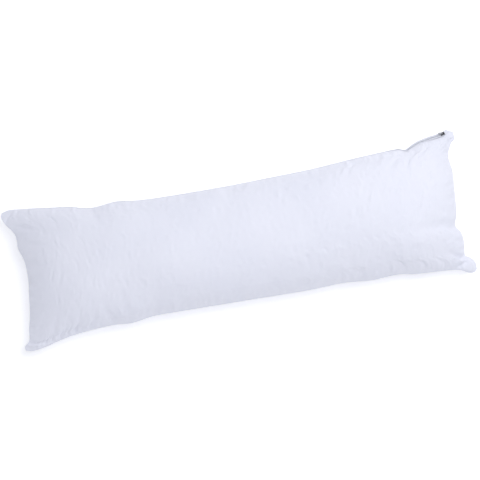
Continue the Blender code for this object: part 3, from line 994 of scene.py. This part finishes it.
# ------------------------------------------------------------------------------------------------
# The zip tapes. Two tapes of white polyester, woven in a fine cross rib with a thicker selvedge, lie
# between the two hems along the far edge, and the teeth are sewn along their inner edges.
# ------------------------------------------------------------------------------------------------

ZIP_FIRST = 0.064
ZIP_LAST = 0.985
# Over this share of the seam, each end of the zip dips under the cloth that it is sewn to.
ZIP_TUCK = 0.0045
TUCKED_DEPTH = 1.5 * MM
TUCK_STEPS = 4
# The selvedge's edges, which turn by more than this, stay crisp.
SELVEDGE_ANGLE = math.radians(60)
# Half of the zip in section, from under the teeth out to the hem. Columns: across from the middle,
# underside, face. Millimetres.
TAPE_SECTION = (
    (0.45, 0.00, 0.24),
    (2.50, 0.00, 0.26),
    (2.75, 0.00, 0.52),
    (3.10, 0.00, 0.74),
    (3.90, 0.00, 0.70),
    (4.80, 0.00, 0.72),
    (5.60, 0.00, 0.84),
    (6.05, 0.06, 0.78),
    (6.20, 0.26, 0.52),
)


def band_point(share, off_cover, across):
    """Points this far off the cover and across the zip's band, towards the upper panel."""
    _, roll, lift = zip_band(share)
    off, side = band_axes(roll)
    centre = far_seam.at(share) - outline_centre
    tucked = np.maximum(ZIP_FIRST + ZIP_TUCK - share, share - ZIP_LAST + ZIP_TUCK) / ZIP_TUCK
    dip = np.clip(tucked, 0, 1) ** 2 * (lift + TUCKED_DEPTH)
    return centre + off * (lift + off_cover - dip)[..., None] + side * across[..., None]


def zip_tape(name, side):
    """One tape as a closed strip along the opening, with its places along and across the tape."""
    ends = np.arange(TUCK_STEPS) / TUCK_STEPS * ZIP_TUCK
    between = fine_u[(fine_u > ZIP_FIRST + ZIP_TUCK) & (fine_u < ZIP_LAST - ZIP_TUCK)]
    share = np.concatenate([ZIP_FIRST + ends, between, ZIP_LAST - ends[::-1]])
    across, under, face = np.array(TAPE_SECTION).T * MM
    around = np.concatenate([across, across[::-1]]) * side
    height = np.concatenate([under, face[::-1]])
    rings = np.stack(
        [band_point(share, np.full_like(share, h), np.full_like(share, a)) for h, a in zip(height, around)],
        axis=1,
    )
    faces = tube_faces(np.arange(rings[..., 0].size).reshape(rings.shape[:2]))
    tape = new_piece(name, rings.reshape(-1, 3).tolist(), [face[::side] for face in faces])
    tape.data.shade_smooth()
    tape.data.set_sharp_from_angle(angle=SELVEDGE_ANGLE)
    along = np.repeat(share * far_seam.length, len(around))
    lay_map(tape, "tape", np.stack([along, np.tile(around, len(share))], axis=-1))
    return tape


def woven_tape():
    """White polyester tape in a close cross rib: smoother and a little greyer than the cotton.

    The ribs are really 0.45 mm apart, and are drawn at 0.9 mm so that they show.
    """
    material, tree, surface = new_material("woven_polyester_tape_white")
    flat = add_node(tree, "ShaderNodeUVMap", {"uv_map": "tape"}).outputs["UV"]
    ribs = add_node(
        tree,
        "ShaderNodeTexWave",
        {"wave_type": "BANDS", "bands_direction": "X", "Scale": WAVE_LENGTH / (0.9 * MM), "Distortion": 0.5},
        {"Vector": flat},
    )
    warp = add_node(
        tree,
        "ShaderNodeTexWave",
        {"wave_type": "BANDS", "bands_direction": "Y", "Scale": WAVE_LENGTH / (0.7 * MM), "Distortion": 0.3},
        {"Vector": flat},
    )
    weave = add_node(
        tree, "ShaderNodeMath", {"operation": "MULTIPLY"}, {0: ribs.outputs["Fac"], 1: warp.outputs["Fac"]}
    )
    tone = add_node(
        tree,
        "ShaderNodeMix",
        {"data_type": "RGBA", COLOUR_A: srgb("D9DBE5"), COLOUR_B: srgb("EDEEF4")},
        {0: weave.outputs[0]},
    )
    bump = add_node(
        tree, "ShaderNodeBump", {"Strength": 0.5, "Distance": 0.15 * MM}, {"Height": weave.outputs[0]}
    )
    shader = add_node(
        tree,
        "ShaderNodeBsdfPrincipled",
        {"Roughness": 0.7, "Sheen Weight": 0.1},
        {"Base Color": tone.outputs[MIXED], "Normal": bump.outputs["Normal"]},
    )
    tree.links.new(shader.outputs["BSDF"], surface)
    return material


tape_cloth = woven_tape()
for node, side in (("zip_tape_upper", 1), ("zip_tape_lower", -1)):
    tape = zip_tape(f"woven_{node}", side)
    tape.data.materials.append(tape_cloth)
    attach(tape, "root")
    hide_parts(node)


# ------------------------------------------------------------------------------------------------
# The zip's teeth. Each row is one white nylon monofilament, wound into a flat coil and sewn along the
# edge of its tape, and the slider has meshed the two rows from the left-hand end up to itself.
# ------------------------------------------------------------------------------------------------

COIL_PITCH = 1.5 * MM
COIL_POINTS = 8
FILAMENT_SIDES = 5
FILAMENT_RADIUS = 0.31 * MM
# The coil's section: middle and half size across the zip, then off the cover.
COIL_ACROSS = (0.95 * MM, 1.08 * MM)
COIL_OFF = (1.33 * MM, 0.64 * MM)
SLIDER_AT = 0.974
MESHED_PAST_SLIDER = 0.8 * MM


def meshed_coils():
    """Both rows, half a pitch apart, so that each turn's head lies between two heads of the other row."""
    last = SLIDER_AT + MESHED_PAST_SLIDER / far_seam.length
    turns = int((last - ZIP_FIRST) * far_seam.length / COIL_PITCH) - 1
    turn = np.arange(turns * COIL_POINTS) / COIL_POINTS
    lines = []
    for side in (1, -1):
        share = ZIP_FIRST + (turn + (0.5 if side > 0 else 0)) * COIL_PITCH / far_seam.length
        across = side * (COIL_ACROSS[0] + COIL_ACROSS[1] * np.cos(2 * math.pi * turn))
        off = COIL_OFF[0] + COIL_OFF[1] * np.sin(2 * math.pi * turn)
        lines.append(band_point(share, off, across))
    lines = np.stack(lines)
    step = 1e-3
    ahead = far_seam.at(share + step) - far_seam.at(share - step)
    away = np.broadcast_to(ahead / np.linalg.norm(ahead, axis=1)[:, None], lines.shape)
    return drawn_thread("nylon_coil", lines, away, np.full(len(turn), FILAMENT_RADIUS), FILAMENT_SIDES)


def nylon_filament():
    """White nylon monofilament: smooth, milky and softly shiny, with faint drawing lines."""
    material, tree, surface = new_material("nylon_monofilament_white")
    place = add_node(tree, "ShaderNodeTexCoord").outputs["Object"]
    lines = add_node(tree, "ShaderNodeTexNoise", {"Scale": 1 / (0.8 * MM), "Detail": 2.0}, {"Vector": place})
    tone = add_node(
        tree,
        "ShaderNodeMix",
        {"data_type": "RGBA", COLOUR_A: srgb("DDE0E9"), COLOUR_B: srgb("EEF0F5")},
        {0: lines.outputs["Fac"]},
    )
    gloss = add_node(
        tree, "ShaderNodeMapRange", {"To Min": 0.34, "To Max": 0.46}, {"Value": lines.outputs["Fac"]}
    )
    shader = add_node(
        tree,
        "ShaderNodeBsdfPrincipled",
        {"IOR": 1.53},
        {"Base Color": tone.outputs[MIXED], "Roughness": gloss.outputs["Result"]},
    )
    tree.links.new(shader.outputs["BSDF"], surface)
    return material


coils = meshed_coils()
coils.data.materials.append(nylon_filament())
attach(coils, "root")
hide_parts("zip_chain")


# ------------------------------------------------------------------------------------------------
# The slider and its pull. Both are die-cast zinc, tumbled smooth and stove-lacquered, the slider black and
# the pull grey. The pull hangs in the slider's ring, and rubbing has worn the lacquer along their edges.
# ------------------------------------------------------------------------------------------------


def lacquered_zinc(name, lacquer, worn):
    """Stoving lacquer over die-cast zinc: a deep, slightly wavy gloss that is paler on worn edges."""
    material, tree, surface = new_material(name)
    place = add_node(tree, "ShaderNodeTexCoord").outputs["Object"]
    orange_peel = add_node(
        tree, "ShaderNodeTexNoise", {"Scale": 1 / (0.7 * MM), "Detail": 2.0}, {"Vector": place}
    )
    rubbing = add_node(
        tree, "ShaderNodeTexNoise", {"Scale": 1 / (1.6 * MM), "Detail": 5.0}, {"Vector": place}
    )
    edges = add_node(tree, "ShaderNodeNewGeometry").outputs["Pointiness"]
    reached = add_node(
        tree,
        "ShaderNodeMapRange",
        {"From Min": 0.515, "From Max": 0.60, "To Max": 0.9},
        {"Value": edges},
    )
    wear = add_node(
        tree,
        "ShaderNodeMath",
        {"operation": "MULTIPLY"},
        {0: reached.outputs["Result"], 1: rubbing.outputs["Fac"]},
    )
    tone = add_node(
        tree,
        "ShaderNodeMix",
        {"data_type": "RGBA", COLOUR_A: srgb(lacquer), COLOUR_B: srgb(worn)},
        {0: wear.outputs[0]},
    )
    gloss = add_node(
        tree, "ShaderNodeMapRange", {"To Min": 0.26, "To Max": 0.44}, {"Value": rubbing.outputs["Fac"]}
    )
    waves = add_node(
        tree,
        "ShaderNodeBump",
        {"Strength": 0.12, "Distance": 0.05 * MM},
        {"Height": orange_peel.outputs["Fac"]},
    )
    shader = add_node(
        tree,
        "ShaderNodeBsdfPrincipled",
        {"Coat Weight": 0.4, "Coat Roughness": 0.2},
        {
            "Base Color": tone.outputs[MIXED],
            "Roughness": gloss.outputs["Result"],
            "Normal": waves.outputs["Normal"],
        },
    )
    tree.links.new(shader.outputs["BSDF"], surface)
    return material


for node, name, lacquer, worn in (
    ("zip_slider", "lacquered_zinc_black", "17181B", "5E6066"),
    ("zip_pull", "lacquered_zinc_grey", "8E9096", "B4B6BA"),
):
    casting = frame["nodes"][node]
    finish = lacquered_zinc(name, lacquer, worn)
    for material_slot in casting.material_slots:
        material_slot.material = finish


# ------------------------------------------------------------------------------------------------
# Floor, light and camera. The pillow lies on a product table of white opal acrylic, which is lit faintly
# from below, under soft light from above and the right. The camera looks almost straight down, and is
# turned so that the pillow rises to the right.
# ------------------------------------------------------------------------------------------------

FLOOR_SIZE = 60.0


def opal_acrylic():
    """White opal acrylic, sand-blasted matt, with a faint mottling and the glow of the lamps under it."""
    material, tree, surface = new_material("opal_acrylic_matt")
    place = add_node(tree, "ShaderNodeTexCoord").outputs["Object"]
    mottle = add_node(
        tree, "ShaderNodeTexNoise", {"Scale": 1 / (900 * MM), "Detail": 2.0}, {"Vector": place}
    )
    tone = add_node(
        tree,
        "ShaderNodeMix",
        {"data_type": "RGBA", COLOUR_A: srgb("FAFAFB"), COLOUR_B: srgb("FDFDFD")},
        {0: mottle.outputs["Fac"]},
    )
    shader = add_node(
        tree,
        "ShaderNodeBsdfPrincipled",
        {"Roughness": 0.9, "Emission Color": srgb("FFFFFF"), "Emission Strength": 0.2},
        {"Base Color": tone.outputs[MIXED]},
    )
    tree.links.new(shader.outputs["BSDF"], surface)
    return material


bpy.ops.mesh.primitive_plane_add(size=FLOOR_SIZE)
floor = bpy.context.object
floor.name = "studio_floor"
floor.data.materials.append(opal_acrylic())


# The soft lights, as name, place, size of the square box and power. Metres and watts.
SOFTBOXES = (
    ("key_light", (1.1, 0.35, 3.0), 1.6, 27.5),
    ("side_light", (1.9, 0.9, 1.8), 1.8, 9),
    ("top_light", (0.0, 0.0, 3.1), 2.6, 13.6),
    ("back_light", (0.4, 2.2, 2.0), 2.0, 6.6),
    ("fill_light", (-1.2, -2.2, 1.6), 2.0, 6),
)
PILLOW_MIDDLE = Vector((0, 0, 0.08))


def add_softbox(name, place, size, power):
    """A square soft light at a place, aimed at the pillow."""
    light = bpy.data.lights.new(name, "AREA")
    light.size = size
    light.energy = power
    lamp = bpy.data.objects.new(name, light)
    lamp.location = place
    lamp.rotation_euler = (PILLOW_MIDDLE - Vector(place)).to_track_quat("-Z", "Y").to_euler()
    bpy.context.scene.collection.objects.link(lamp)


for softbox in SOFTBOXES:
    add_softbox(*softbox)

AIR_COLOUR = "F0F2FA"
AIR_STRENGTH = 0.585

air = bpy.data.worlds.new("studio_air")
air.use_nodes = True
background = air.node_tree.nodes["Background"]
background.inputs["Color"].default_value = srgb(AIR_COLOUR)
background.inputs["Strength"].default_value = AIR_STRENGTH
bpy.context.scene.world = air
bpy.context.scene.view_settings.view_transform = "Standard"

CAMERA_LENS = 75.0
CAMERA_DISTANCE = 2.74
CAMERA_ELEVATION = math.radians(84)
CAMERA_TURN = math.radians(10)
CAMERA_TARGET = Vector((0.003, 0.0, 0.07))

camera = bpy.data.objects.new("camera", bpy.data.cameras.new("camera"))
camera.data.lens = CAMERA_LENS
back = Vector((0, -math.cos(CAMERA_ELEVATION), math.sin(CAMERA_ELEVATION)))
level = back.to_track_quat("Z", "Y")
camera.rotation_mode = "QUATERNION"
camera.rotation_quaternion = level @ Matrix.Rotation(-CAMERA_TURN, 3, "Z").to_quaternion()
camera.location = CAMERA_TARGET + back * CAMERA_DISTANCE
bpy.context.scene.collection.objects.link(camera)
bpy.context.scene.camera = camera
